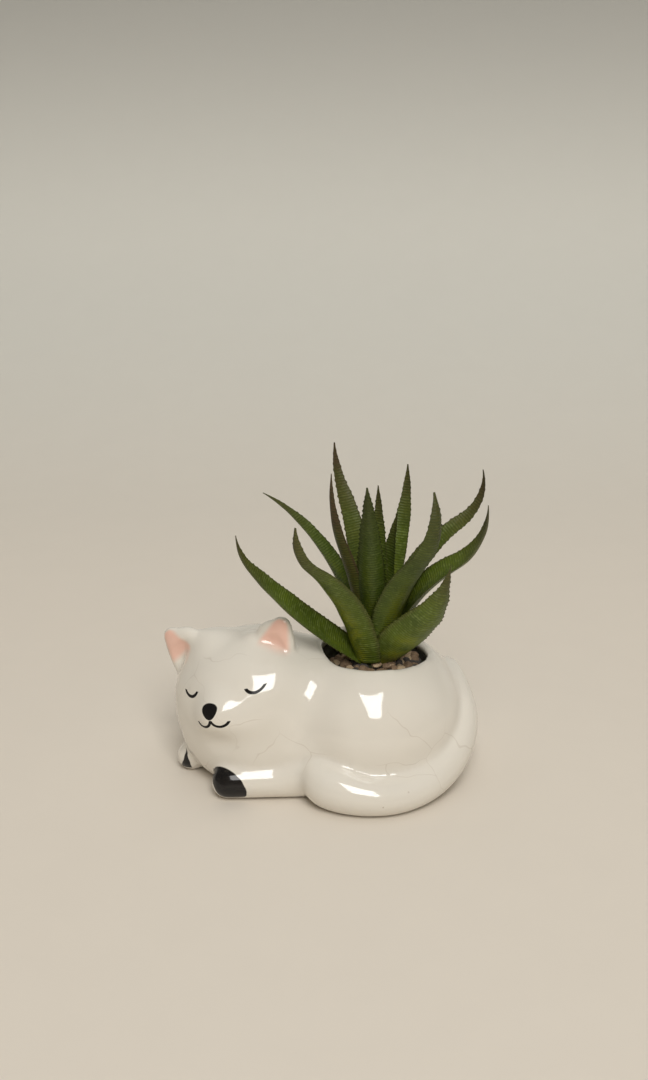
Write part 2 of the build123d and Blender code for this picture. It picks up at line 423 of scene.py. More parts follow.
@dataclass(frozen=True)
class GlazeFinish:
    """Warm white gloss glaze with crazing, specks and the painted face, paws and ears."""

    white: Colour = (0.82, 0.785, 0.71)
    shade: Colour = (0.75, 0.70, 0.615)
    black: Colour = (0.012, 0.011, 0.011)
    pink: Colour = (0.95, 0.60, 0.49)
    blush: Colour = (0.82, 0.49, 0.385)
    crack: Colour = (0.40, 0.31, 0.22)
    refraction: float = 1.52
    roughness: float = 0.06
    roughness_spread: float = 0.06
    gloss: float = 0.5
    coat_loss: float = -0.45
    gloss_loss: float = -0.40
    toe_dullness: float = 0.6
    coat_roughness: float = 0.04
    crack_scale: float = 38.0
    crack_width: float = 0.008
    crack_core: float = 0.002
    crack_strength: float = 0.2
    drift_scale: float = 60.0
    drift_reach: float = 0.012
    speck_scale: float = 110.0
    speck_radius: float = 0.055
    speck_core: float = 0.03
    speck_strength: float = 0.7
    ripple_depth: float = 0.12 * MM
    ripple_strength: float = 0.35
    face_start: float = -12.0
    face_full: float = -14.0
    paint_edge: float = 0.15
    nose: NosePaint = NosePaint()
    near_toes: NearToes = NearToes()
    far_toes: FarToes = FarToes()
    ear: EarPaint = EarPaint()
    head: HeadFrame = field(default_factory=HeadFrame)
    arcs: tuple[Arc, ...] = (
        Arc(14.1, 12.2, 3.8, 10.3),
        Arc(-12.8, 12.75, 3.85, 10.8),
        Arc(-5.1, 3.3, 3.3, 2.25, slope=0.12),
        Arc(1.9, 3.3, 3.6, 1.9, slope=-0.22),
    )

    def face_paint(self, shader: Shader, where: Socket) -> Socket:
        """Return the mask of the painted eyes, mouth and nose.

        Args:
            shader: The glaze's node tree.
            where: Coordinates in the head's frame.

        Returns:
            The mask's socket.
        """
        wobble = shader.math("MULTIPLY_ADD", shader.cloud(2.5 * MM), 0.5, -0.25)
        x, y, z = shader.millimetres(where)
        beside = shader.math("SUBTRACT", x, self.nose.x)
        above = shader.math("SUBTRACT", z, self.nose.z)
        span = shader.math("MULTIPLY_ADD", above, self.nose.widening, self.nose.half_width)
        oval = shader.oval(beside, span, above, self.nose.half_height)
        mask = shader.math("MULTIPLY_ADD", wobble, 0.5, oval)
        mask = shader.step(mask, self.nose.outer, self.nose.inner)
        for arc in self.arcs:
            dx = shader.math("SUBTRACT", x, arc.x)
            dz = shader.math("SUBTRACT", z, arc.z)
            off = shader.math("SUBTRACT", shader.away(dx, dz), arc.radius)
            off = shader.math("MULTIPLY_ADD", wobble, 0.4, shader.math("ABSOLUTE", off))
            line = shader.step(off, arc.half_width + arc.soft_side, arc.half_width - arc.soft_side)
            ends = shader.math("MULTIPLY_ADD", dx, -arc.slope, z)
            ends = shader.step(ends, arc.below + arc.soft_end, arc.below - arc.soft_end)
            mask = shader.math("MAXIMUM", mask, shader.math("MULTIPLY", line, ends))
        return shader.math("MULTIPLY", mask, shader.step(y, self.face_start, self.face_full))

    def paw_paint(self, shader: Shader) -> Socket:
        """Return the mask of the black toes on both forepaws.

        Args:
            shader: The glaze's node tree.

        Returns:
            The mask's socket.
        """
        wobble = shader.math("MULTIPLY_ADD", shader.cloud(4.0 * MM), 1.2, -0.6)
        x, y, z = shader.millimetres(shader.place)
        x = shader.math("ADD", x, wobble)
        toes = self.near_toes
        beside = shader.math("SUBTRACT", x, toes.x)
        above = shader.math("SUBTRACT", z, toes.z)
        along = shader.math("MULTIPLY", beside, toes.tilt_cos)
        along = shader.math("MULTIPLY_ADD", above, -toes.tilt_sin, along)
        across = shader.math("MULTIPLY", beside, toes.tilt_sin)
        across = shader.math("MULTIPLY_ADD", above, toes.tilt_cos, across)
        oval = shader.oval(along, toes.half_long, across, toes.half_short)
        near = shader.math("MULTIPLY_ADD", oval, toes.steepness, -toes.steepness)
        near = shader.math("SMOOTH_MAX", near, shader.math("SUBTRACT", toes.low, z), toes.low_blend)
        depth = shader.math("SUBTRACT", y, toes.leg_y)
        height = shader.math("SUBTRACT", z, toes.leg_z)
        off_axis = shader.math("SUBTRACT", shader.away(depth, height), toes.leg_reach)
        near = shader.math("MAXIMUM", near, off_axis)
        toes = self.far_toes
        wing = shader.math("ABSOLUTE", shader.math("SUBTRACT", x, toes.x))
        far = shader.math("MULTIPLY_ADD", z, toes.narrowing, shader.math("SUBTRACT", wing, toes.half_width))
        far = shader.math("MAXIMUM", far, shader.math("SUBTRACT", toes.low, z))
        far = shader.math("MAXIMUM", far, shader.math("SUBTRACT", y, toes.back))
        both = shader.math("MINIMUM", near, far)
        return shader.step(both, self.paint_edge, -self.paint_edge)

    def ear_paint(self, shader: Shader, where: Socket, side: int) -> Socket:
        """Return the soft mask of one pink inner ear.

        Args:
            shader: The glaze's node tree.
            where: Coordinates in the head's frame.
            side: -1 or 1.

        Returns:
            The mask's socket.
        """
        head = self.head
        centre = Vector((side * head.ear_spread + head.ear_shift, head.ear_back, head.ear_up))
        local = shader.turned(where, centre, Euler((0.0, side * head.ear_splay, 0.0)))
        x, y, z = shader.millimetres(local)
        edge = shader.math("MULTIPLY_ADD", z, self.ear.narrowing, shader.math("ABSOLUTE", x))
        mask = shader.step(edge, self.ear.outer, self.ear.inner)
        mask = shader.math("MULTIPLY", mask, shader.step(z, self.ear.low_start, self.ear.low_full))
        return shader.math("MULTIPLY", mask, shader.step(y, self.ear.front_start, self.ear.front_full))

    def crazing(self, shader: Shader) -> Socket:
        """Return the mask of the fine cracks in the glaze.

        Args:
            shader: The glaze's node tree.

        Returns:
            The mask's socket.
        """
        bent = shader.add("ShaderNodeVectorMath", operation="MULTIPLY_ADD")
        drift = shader.add("ShaderNodeTexNoise")
        drift.inputs["Scale"].default_value = self.drift_scale
        shader.feed(drift.inputs["Vector"], shader.place)
        shader.feed(bent.inputs[0], drift.outputs["Color"])
        bent.inputs[1].default_value = (self.drift_reach,) * 3
        shader.feed(bent.inputs[2], shader.place)
        cells = shader.add("ShaderNodeTexVoronoi", feature="DISTANCE_TO_EDGE")
        cells.inputs["Scale"].default_value = self.crack_scale
        shader.feed(cells.inputs["Vector"], bent.outputs[0])
        crack = shader.step(cells.outputs["Distance"], self.crack_width, self.crack_core)
        return shader.math("MULTIPLY", crack, shader.step(shader.cloud(30 * MM), 0.46, 0.62))

    def specks(self, shader: Shader) -> Socket:
        """Return the mask of the few dark specks in the glaze.

        Args:
            shader: The glaze's node tree.

        Returns:
            The mask's socket.
        """
        dots = shader.add("ShaderNodeTexVoronoi", feature="F1")
        dots.inputs["Scale"].default_value = self.speck_scale
        shader.feed(dots.inputs["Vector"], shader.place)
        dot = shader.step(dots.outputs["Distance"], self.speck_radius, self.speck_core)
        return shader.math("MULTIPLY", dot, shader.step(shader.cloud(14 * MM), 0.60, 0.64))

    def material(self) -> bpy.types.Material:
        """Return the glaze's material."""
        shader = Shader("warm_white_glaze")
        tone = shader.math("MULTIPLY", shader.cloud(26 * MM, 3.0), 0.7)
        colour = shader.blend(tone, self.white, self.shade)
        crack = shader.math("MULTIPLY", self.crazing(shader), self.crack_strength)
        colour = shader.blend(crack, colour, self.crack)
        speck = shader.math("MULTIPLY", self.specks(shader), self.speck_strength)
        colour = shader.blend(speck, colour, self.crack)
        face = shader.turned(shader.place, self.head.centre, self.head.turn)
        for side in (-1, 1):
            inner = self.ear_paint(shader, face, side)
            rose = shader.blend(shader.cloud(5 * MM), self.pink, self.blush)
            colour = shader.blend(shader.math("MULTIPLY", inner, self.ear.strength), colour, rose)
        strokes = self.face_paint(shader, face)
        toes = self.paw_paint(shader)
        paint = shader.math("MAXIMUM", strokes, toes)
        dull = shader.math("MAXIMUM", strokes, shader.math("MULTIPLY", toes, self.toe_dullness))
        colour = shader.blend(paint, colour, self.black)
        shader.set(Base_Color=colour)
        rough = shader.math("MULTIPLY_ADD", shader.cloud(9 * MM), self.roughness_spread, self.roughness)
        shader.set(Roughness=rough, IOR=self.refraction, Coat_Roughness=self.coat_roughness)
        shader.set(Coat_Weight=shader.math("MULTIPLY_ADD", dull, self.coat_loss, self.gloss))
        shader.set(Specular_IOR_Level=shader.math("MULTIPLY_ADD", dull, self.gloss_loss, self.gloss))
        shader.bump(shader.cloud(7 * MM, 1.0), self.ripple_depth, self.ripple_strength)
        return shader.material


@dataclass(frozen=True)
class StoneFinish:
    """Rough stone in one tone, with grains and worn edges."""

    name: str
    dark: Colour
    light: Colour

    def material(self) -> bpy.types.Material:
        """Return the stone's material."""
        shader = Shader(self.name)
        grain = shader.cloud(0.7 * MM, 4.0)
        patch = shader.cloud(3.5 * MM, 3.0)
        mix = shader.math("MULTIPLY_ADD", grain, 0.6, shader.math("MULTIPLY", patch, 0.5), clamp=True)
        shader.set(Base_Color=shader.blend(mix, self.dark, self.light))
        shader.set(Roughness=shader.math("MULTIPLY_ADD", patch, 0.3, 0.6))
        shader.bump(grain, 0.25 * MM, 0.8)
        return shader.material


@dataclass(frozen=True)
class LeafFinish:
    """Soft moulded plastic: olive green, yellow at the heart, brown at tips and edges, with cross lines."""

    deep: Colour = (0.026, 0.046, 0.004)
    olive: Colour = (0.155, 0.215, 0.016)
    heart: Colour = (0.260, 0.275, 0.012)
    bloom: Colour = (0.225, 0.285, 0.075)
    brown: Colour = (0.080, 0.050, 0.024)
    line_pitch: float = 1.05 * MM
    line_strength: float = 0.5
    line_drift: float = 0.5 * MM
    bloom_strength: float = 0.5
    wear_strength: float = 0.75
    edge_wear: float = 0.6
    specular: float = 0.36
    bump_depth: float = 0.20 * MM
    bump_strength: float = 0.75

    def material(self) -> bpy.types.Material:
        """Return the leaves' material, which reads the numbers that each leaf's mesh carries."""
        shader = Shader("aloe_leaf")
        run = shader.attribute("leaf_run")
        share = shader.attribute("leaf_share")
        across = shader.attribute("leaf_across")
        rust = shader.attribute("leaf_rust")
        patch = shader.cloud(9 * MM, 3.0)
        fine = shader.cloud(1.6 * MM, 3.0)
        colour = shader.blend(patch, self.deep, self.olive)
        shade = shader.attribute("leaf_shade")
        middle = shader.step(shader.math("ABSOLUTE", across), 0.75, 0.1)
        low = shader.step(share, 0.7, 0.12)
        warm = shader.math("MULTIPLY", middle, shader.math("MULTIPLY", low, shader.step(patch, 0.35, 0.65)))
        warm = shader.math("MULTIPLY", warm, shader.attribute("leaf_warmth"))
        colour = shader.blend(warm, colour, self.heart)
        bloom = shader.math("MULTIPLY", shader.step(fine, 0.45, 0.7), self.bloom_strength)
        colour = shader.blend(bloom, colour, self.bloom)
        tip = shader.step(share, 0.55, 1.0)
        edge = shader.step(shader.math("ABSOLUTE", across), 0.8, 1.0)
        worn = shader.math("MAXIMUM", tip, shader.math("MULTIPLY", edge, self.edge_wear))
        worn = shader.math("ADD", worn, shader.math("MULTIPLY", rust, shader.step(patch, 0.2, 0.6)))
        worn = shader.math("MULTIPLY", worn, self.wear_strength, clamp=True)
        colour = shader.blend(worn, colour, self.brown)
        wave = shader.math("ADD", run, shader.math("MULTIPLY", shader.cloud(2.2 * MM), self.line_drift))
        wave = shader.math("SINE", shader.math("MULTIPLY", wave, 2 * math.pi / self.line_pitch))
        wave = shader.math("MULTIPLY_ADD", wave, 0.5, 0.5)
        lines = shader.math("MULTIPLY", wave, shader.step(fine, 0.15, 0.6))
        colour = shader.blend(shader.math("MULTIPLY", lines, self.line_strength), colour, self.deep)
        shade = shader.math("MULTIPLY", shade, shader.step(share, 0.02, 0.3))
        shader.set(Base_Color=shader.blend(shade, colour, self.deep))
        shader.set(Roughness=shader.math("MULTIPLY_ADD", fine, 0.2, 0.42))
        shader.set(Specular_IOR_Level=self.specular)
        height = shader.math("MULTIPLY_ADD", lines, 0.8, shader.math("MULTIPLY", fine, 0.4))
        shader.bump(height, self.bump_depth, self.bump_strength)
        return shader.material


@dataclass(frozen=True)
class Swell:
    """A soft modelled form: where it is, how far it moves and how wide it reaches, in millimetres.

    Places on the head are in the head's own frame, the others in the object's.
    """

    place: tuple[float, float, float]
    move: tuple[float, float, float]
    reach: float
    on_head: bool = True


@dataclass(frozen=True)
class Calm:
    """A place that is smoothed and how far the smoothing reaches, in millimetres."""

    place: tuple[float, float, float]
    reach: float


@dataclass
class CatSkin:
    """The glazed casting: the pot's solid with its creases softened as glaze softens them."""

    voxel: float = 0.9 * MM
    smooth_share: float = 0.5
    smooth_turns: int = 12
    head: HeadFrame = field(default_factory=HeadFrame)
    swells: tuple[Swell, ...] = (
        Swell((-13.5, -3.0, 22.0), (-0.5, 0.0, 4.4), 15.0),
        Swell((-18.0, -3.0, 24.5), (0.0, 0.0, 1.4), 9.0),
        Swell((11.5, -5.0, 26.0), (-0.6, 0.0, 2.6), 9.0),
        Swell((-2.6, -27.0, 4.0), (0.0, -3.2, 0.0), 11.0),
        Swell((-2.0, -26.0, -6.5), (0.0, 1.8, 0.0), 9.0),
        Swell((-28.0, -8.0, -7.0), (2.0, 0.0, 0.0), 16.0),
        Swell((-27.0, -31.0, 13.5), (0.0, -1.0, 1.8), 12.0, on_head=False),
    )
    calms: tuple[Calm, ...] = (
        Calm((11.0, -35.0, 28.0), 20.0),
        Calm((33.0, 10.0, 36.0), 19.0),
        Calm((-27.5, -36.5, 10.5), 9.5),
    )
    calm_turns: int = 60
    finish: GlazeFinish = field(default_factory=GlazeFinish)

    def model(self, skin: bpy.types.Object) -> None:
        """Swell the muzzle, chin, cheek, brow and forearm with soft edges."""
        turn = self.head.turn.to_matrix()
        for swell in self.swells:
            place = Vector(swell.place) * MM
            move = Vector(swell.move) * MM
            if swell.on_head:
                place = self.head.centre + turn @ place
                move = turn @ move
            for point in skin.data.vertices:
                away = (point.co - place).length / (swell.reach * MM)
                if away < 1.0:
                    point.co += move * (1.0 - away * away) ** 2

    def calm(self, skin: bpy.types.Object) -> None:
        """Smooth the broad flank, the tail's root and the crease at the tail's tip."""
        group = skin.vertex_groups.new(name="calm")
        for calm in self.calms:
            centre = Vector(calm.place) * MM
            for point in skin.data.vertices:
                away = (point.co - centre).length / (calm.reach * MM)
                if away < 1.0:
                    group.add([point.index], (1.0 - away * away) ** 0.5, "REPLACE")
        apply_modifier(
            skin, "SMOOTH", factor=self.smooth_share, iterations=self.calm_turns, vertex_group=group.name
        )

    def build(self) -> bpy.types.Object:
        """Copy the casting, flow its creases together and smooth it.

        Returns:
            The glazed skin.
        """
        activate(frame["nodes"]["cat_pot"])
        bpy.ops.object.duplicate(linked=False)
        skin = bpy.context.view_layer.objects.active
        skin.name = "cat_glazed_skin"
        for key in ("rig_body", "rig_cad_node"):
            if key in skin:
                del skin[key]
        skin.parent = None
        finish_mesh(skin)
        apply_modifier(skin, "REMESH", mode="VOXEL", voxel_size=self.voxel)
        self.model(skin)
        self.calm(skin)
        apply_modifier(skin, "SMOOTH", factor=self.smooth_share, iterations=self.smooth_turns)
        activate(skin)
        bpy.ops.object.shade_smooth()
        return skin

    def dress(self, skin: bpy.types.Object) -> None:
        """Glaze the skin and let it stand for the casting."""
        dress(skin, self.finish.material())
        enrol(skin, Body.POT, Slot.GLAZE, "cat_pot")


@dataclass(frozen=True)
class LeafShape:
    """One leaf's seat, lean, bends, lengths, width and tint, in degrees and millimetres."""

    azimuth: float
    rise: float
    lean: float
    bend: float
    length: float
    tip_bend: float
    tip_length: float
    width: float
    roll: float = 0.0
    taper: float = 1.0
    rust: float = 0.0
    shade: float = 0.0
    warmth: float = 0.7


@dataclass
class Aloe:
    """The artificial aloe: toothed, keeled leaves round a short crown."""

    soil_top: float = 42.5
    crown_r: float = 6.5
    crown_tip_r: float = 1.8
    crown_height: float = 15.0
    seat: float = 1.5
    keel: float = 0.3
    cup: float = 0.12
    around: int = 20
    ring_pitch: float = 0.36
    tooth_pitch: float = 2.1
    tooth_height: float = 0.55
    tooth_peak: float = 0.62
    tooth_rise: float = 0.3
    tooth_fall: float = 0.16
    tooth_offset: float = 0.35
    tooth_start: float = 0.05
    tooth_end: float = 0.97
    tooth_full_width: float = 5.0
    edge_share: float = 0.98
    wave_height: float = 0.18
    wave_full_width: float = 4.0
    wave_along: float = 0.12
    wave_across: float = 1.5
    wave_seed: float = 7.3
    finish: LeafFinish = field(default_factory=LeafFinish)
    widths: tuple[tuple[float, float], ...] = (
        (0.0, 0.85), (0.12, 0.95), (0.3, 1.0), (0.5, 0.92), (0.7, 0.66), (0.86, 0.36), (1.0, 0.06),
    )
    leaves: tuple[LeafShape, ...] = (
        LeafShape(203, 3, 37.5, 11.5, 62, 34, 15.5, 12, roll=-35, warmth=0.1),
        LeafShape(153, 3, 86, -53, 62, -15.5, 15.5, 10, shade=0.25),
        LeafShape(225, 3, 79, -44, 56, 58.5, 19, 17, warmth=1.0),
        LeafShape(212, 6.5, 84.5, -18, 45, 25, 30, 9.5, rust=0.9),
        LeafShape(127, 6, 89, -31, 62, 29, 18, 11, rust=0.45),
        LeafShape(258, 9, 77, -3, 55, -4, 15.5, 11, shade=0.6),
        LeafShape(60, 11.5, 87, 4.5, 44, 4, 15.5, 8),
        LeafShape(25, 8, 89, -8.5, 37.5, -5, 14, 9, roll=20, shade=0.3),
        LeafShape(62, 6, 69.5, -8, 44.5, 31.5, 26.5, 9.5),
        LeafShape(306, 5, 83.5, -39, 51.5, 63.5, 29, 16, shade=0.35, warmth=1.0),
        LeafShape(12, 3, 89, -56, 62, 70, 22.5, 10, roll=25, rust=0.35, warmth=0.3),
        LeafShape(345, 2.5, 85.5, -53, 49.5, 59, 28, 14, roll=20),
        LeafShape(318, 3.6, 49, -2.5, 28, 34, 28, 18, roll=-36, taper=1.7),
        LeafShape(95, 2.5, 58, -20, 42, 20, 14, 10),
    )

    def width_at(self, share: float) -> float:
        """Return the leaf's share of its full width at a share of its length."""
        for (low, start), (high, end) in zip(self.widths, self.widths[1:]):
            if share <= high:
                part = (share - low) / (high - low)
                part = part * part * (3 - 2 * part) * 0.5 + part * 0.5
                return start + (end - start) * part
        return self.widths[-1][1]

    def spine(self, leaf: LeafShape, share: float) -> tuple[float, float, float]:
        """Return radius, height and lean of a leaf's middle line.

        Args:
            leaf: The leaf's shape.
            share: How far along the leaf, from 0 to 1.

        Returns:
            Radius and height in millimetres and lean in radians.
        """
        run = share * (leaf.length + leaf.tip_length)
        taper = (self.crown_tip_r - self.crown_r) / self.crown_height
        radius = self.crown_r + taper * leaf.rise - self.seat
        height = self.soil_top + leaf.rise
        lean = math.radians(leaf.lean)
        for bend, length in ((leaf.bend, leaf.length), (leaf.tip_bend, leaf.tip_length)):
            part = min(run, length)
            turn = math.radians(bend) * part / length
            chord = part * math.sin(turn / 2) / (turn / 2) if abs(turn) > TINY else part
            radius += chord * math.cos(lean + turn / 2)
            height += chord * math.sin(lean + turn / 2)
            lean += turn
            run -= part
        return radius, height, lean

    def tooth(self, run: float, side: float) -> float:
        """Return how far a tooth stands out at a distance along one edge, from 0 to 1."""
        phase = (run / self.tooth_pitch + (self.tooth_offset if side > 0 else 0.0)) % 1.0
        flank = self.tooth_rise if phase < self.tooth_peak else self.tooth_fall
        return max(0.0, 1.0 - abs(phase - self.tooth_peak) / flank)

    def blade_point(self, leaf: LeafShape, corner: Vector, seed: float) -> Vector:
        """Move one point of a plain round bar to its place on the leaf.

        Args:
            leaf: The leaf's shape.
            corner: The point on a bar of radius 1 and height 1 about the origin.
            seed: A number of the leaf's own for its slight waves.

        Returns:
            The point in metres.
        """
        share = min(max(corner.z + 0.5, 0.0), 1.0)
        radius, height, lean = self.spine(leaf, share)
        turn = math.radians(leaf.azimuth)
        across = Vector((-math.sin(turn), math.cos(turn), 0.0))
        along = Vector((math.cos(lean) * math.cos(turn), math.cos(lean) * math.sin(turn), math.sin(lean)))
        inward = along.cross(across)
        if leaf.roll:
            spin = Matrix.Rotation(math.radians(leaf.roll), 3, along)
            across, inward = spin @ across, spin @ inward
        width = leaf.width * self.width_at(share) ** leaf.taper
        reach = math.hypot(corner.x, corner.y)
        lateral = corner.x / max(reach, TINY)
        hollow = 1.0 - lateral * lateral
        depth = self.cup if corner.y > 0 else self.keel
        side = lateral * width / 2
        total = leaf.length + leaf.tip_length
        if abs(lateral) > self.edge_share and self.tooth_start < share < self.tooth_end:
            size = self.tooth_height * min(1.0, width / self.tooth_full_width)
            side += math.copysign(size * self.tooth(share * total, lateral), lateral)
        wave = noise.noise(Vector((share * total * self.wave_along, lateral * self.wave_across, seed)))
        lift = -depth * width * hollow * min(reach, 1.0)
        lift += self.wave_height * wave * min(1.0, width / self.wave_full_width)
        middle = Vector((radius * math.cos(turn), radius * math.sin(turn), height))
        return (middle + across * side * min(reach, 1.0) + inward * lift) * MM

    def build(self, number: int, leaf: LeafShape) -> bpy.types.Object:
        """Shape one leaf from a round bar cut into rings.

        Args:
            number: The leaf's number.
            leaf: The leaf's shape.

        Returns:
            The finished leaf.
        """
        deselect()
        bpy.ops.mesh.primitive_cylinder_add(
            vertices=self.around, radius=1.0, depth=1.0, end_fill_type="TRIFAN"
        )
        blade = bpy.context.view_layer.objects.active
        blade.name = f"aloe_leaf_{number:02d}"
        total = leaf.length + leaf.tip_length
        bpy.ops.object.mode_set(mode="EDIT")
        bpy.ops.mesh.select_all(action="DESELECT")
        bpy.ops.object.mode_set(mode="OBJECT")
        points = blade.data.vertices
        for edge in blade.data.edges:
            low, high = (points[index].co.z for index in edge.vertices)
            edge.select = abs(low - high) > 0.5
        bpy.ops.object.mode_set(mode="EDIT")
        bpy.ops.mesh.select_mode(type="EDGE")
        bpy.ops.mesh.subdivide(number_cuts=int(total / self.ring_pitch))
        bpy.ops.object.mode_set(mode="OBJECT")
        flat = [point.co.copy() for point in points]
        numbers = {
            "leaf_run": [(corner.z + 0.5) * total * MM for corner in flat],
            "leaf_share": [corner.z + 0.5 for corner in flat],
            "leaf_across": [corner.x for corner in flat],
            "leaf_rust": [leaf.rust for _ in flat],
            "leaf_shade": [leaf.shade for _ in flat],
            "leaf_warmth": [leaf.warmth for _ in flat],
        }
        for name, values in numbers.items():
            blade.data.attributes.new(name, "FLOAT", "POINT").data.foreach_set("value", values)
        for point, corner in zip(points, flat):
            point.co = self.blade_point(leaf, corner, number * self.wave_seed)
        finish_mesh(blade)
        return blade

    def dress(self, blades: Sequence[bpy.types.Object]) -> None:
        """Give the leaves their plastic and let each stand for its own solid."""
        material = self.finish.material()
        for number, blade in enumerate(blades, 1):
            dress(blade, material)
            enrol(blade, Body.INSERT, Slot.LEAF, f"leaf_{number:02d}")


@dataclass
class Bed:
    """Soil and gravel in the mouth, inside the mouth's oval."""

    long: float = 19.6
    short: float = 17.2
    turn: float = math.radians(25.0)
    core_top: float = 39.5
    crown: float = 3.1
    grit: float = 0.55
    stone_count: int = 96
    stone_sizes: tuple[float, float] = (1.5, 2.7)
    stone_margin: float = 0.3
    stone_lift: float = 0.3
    stone_tilt: float = 0.35
    facet_count: int = 9
    facet_reach: float = 0.72
    facet_slant: float = 0.05
    stone_rough: float = 0.10
    stone_rough_scale: float = 2.2
    facet_angle: float = math.radians(28.0)
    seed: int = 11
    soil: StoneFinish = StoneFinish("dark_soil", (0.008, 0.006, 0.005), (0.045, 0.034, 0.026))
    tones: dict[str, tuple[Slot, StoneFinish]] = field(default_factory=lambda: {
        "gravel_tan": (Slot.TAN, StoneFinish("tan_gravel", (0.24, 0.16, 0.09), (0.66, 0.51, 0.33))),
        "gravel_brown": (Slot.BROWN, StoneFinish("brown_gravel", (0.09, 0.056, 0.034), (0.34, 0.23, 0.14))),
        "gravel_dark": (Slot.DARK, StoneFinish("dark_gravel", (0.016, 0.014, 0.013), (0.11, 0.095, 0.083))),
    })

    def height(self, x: float, y: float) -> float:
        """Return the soil's height at a place, in millimetres."""
        along = x * math.cos(self.turn) + y * math.sin(self.turn)
        across = y * math.cos(self.turn) - x * math.sin(self.turn)
        out = math.hypot(along / self.long, across / self.short)
        rough = noise.noise(Vector((x, y, 0.0)) * 0.8) + 0.5 * noise.noise(Vector((x, y, 9.0)) * 2.1)
        return self.core_top + self.crown * (1 - out**4) + self.grit * rough * (1 - out**8)

    def build_soil(self) -> bpy.types.Object:
        """Make the crowned soil from a flattened ball.

        Returns:
            The soil.
        """
        deselect()
        bpy.ops.mesh.primitive_uv_sphere_add(segments=96, ring_count=64, radius=1.0)
        soil = bpy.context.view_layer.objects.active
        soil.name = "soil_crust"
        for point in soil.data.vertices:
            out = min(math.acos(min(abs(point.co.z), 1.0)) / (math.pi / 2), 1.0)
            angle = math.atan2(point.co.y, point.co.x)
            along, across = out * self.long * math.cos(angle), out * self.short * math.sin(angle)
            x = along * math.cos(self.turn) - across * math.sin(self.turn)
            y = along * math.sin(self.turn) + across * math.cos(self.turn)
            z = self.height(x, y) if point.co.z > 0 else self.core_top
            point.co = Vector((x, y, max(z, self.core_top))) * MM
        finish_mesh(soil)
        return soil

    def build_stone(self, draw: random.Random) -> bpy.types.Object:
        """Make one broken stone from a faceted ball.

        Args:
            draw: The source of its size and place.

        Returns:
            The stone, in place.
        """
        size = draw.uniform(*self.stone_sizes)
        angle = draw.uniform(0.0, 2 * math.pi)
        out = math.sqrt(draw.uniform(0.12, 1.0))
        along = out * (self.long - size - self.stone_margin) * math.cos(angle)
        across = out * (self.short - size - self.stone_margin) * math.sin(angle)
        x = along * math.cos(self.turn) - across * math.sin(self.turn)
        y = along * math.sin(self.turn) + across * math.cos(self.turn)
        z = self.height(x, y) + self.stone_lift * size
        deselect()
        bpy.ops.mesh.primitive_ico_sphere_add(subdivisions=3, radius=1.0)
        stone = bpy.context.view_layer.objects.active
        offset = Vector((draw.uniform(0, 50), draw.uniform(0, 50), draw.uniform(0, 50)))
        planes = []
        for _ in range(self.facet_count):
            plane = Vector((draw.gauss(0, 1), draw.gauss(0, 1), draw.gauss(0, 1)))
            planes.append(plane.normalized())
        for point in stone.data.vertices:
            way = point.co.normalized()
            cut = min(self.facet_reach / max(way.dot(plane), self.facet_slant) for plane in planes)
            rough = self.stone_rough * noise.noise(way * self.stone_rough_scale + offset)
            point.co = way * min(1.0, cut) * (1.0 + rough)
        spread = Vector((draw.uniform(0.9, 1.15), draw.uniform(0.75, 1.0), draw.uniform(0.6, 0.8)))
        stone.scale = spread * size * MM
        tilt = self.stone_tilt
        stone.rotation_euler = (draw.uniform(-tilt, tilt), draw.uniform(-tilt, tilt), draw.uniform(0, 6.28))
        stone.location = Vector((x, y, z)) * MM
        return stone

    def build_gravel(self) -> dict[str, bpy.types.Object]:
        """Scatter the stones and join them by tone.

        Returns:
            One joined object for each gravel node.
        """
        draw = random.Random(self.seed)
        names = list(self.tones)
        heaps: dict[str, list[bpy.types.Object]] = {name: [] for name in names}
        for _ in range(self.stone_count):
            heaps[draw.choice(names)].append(self.build_stone(draw))
        joined = {}
        for name, stones in heaps.items():
            deselect()
            for stone in stones:
                stone.select_set(True)
            bpy.context.view_layer.objects.active = stones[0]
            bpy.ops.object.join()
            stones[0].name = f"{name}_stones"
            finish_mesh(stones[0])
            activate(stones[0])
            bpy.ops.object.shade_smooth_by_angle(angle=self.facet_angle)
            joined[name] = stones[0]
        return joined

    def dress(self, soil: bpy.types.Object, gravel: dict[str, bpy.types.Object]) -> None:
        """Give soil and stones their finishes and let them stand for their solids."""
        dress(soil, self.soil.material())
        enrol(soil, Body.INSERT, Slot.SOIL, "soil_bed")
        for name, heap in gravel.items():
            slot, finish = self.tones[name]
            dress(heap, finish.material())
            enrol(heap, Body.INSERT, slot, name)


@dataclass
class HiddenCore:
    """The foam core and the stem, which keep their solids and get finishes of their own."""

    foam: StoneFinish = StoneFinish("dry_foam", (0.10, 0.15, 0.07), (0.20, 0.27, 0.14))
    stem: StoneFinish = StoneFinish("stem_plastic", (0.022, 0.030, 0.010), (0.075, 0.085, 0.025))

    def dress(self) -> None:
        """Give both nodes their materials."""
        for name, finish in (("foam_core", self.foam), ("plant_stem", self.stem)):
            dress(frame["nodes"][name], finish.material())
            log.info("%s: keeps its solid", name)


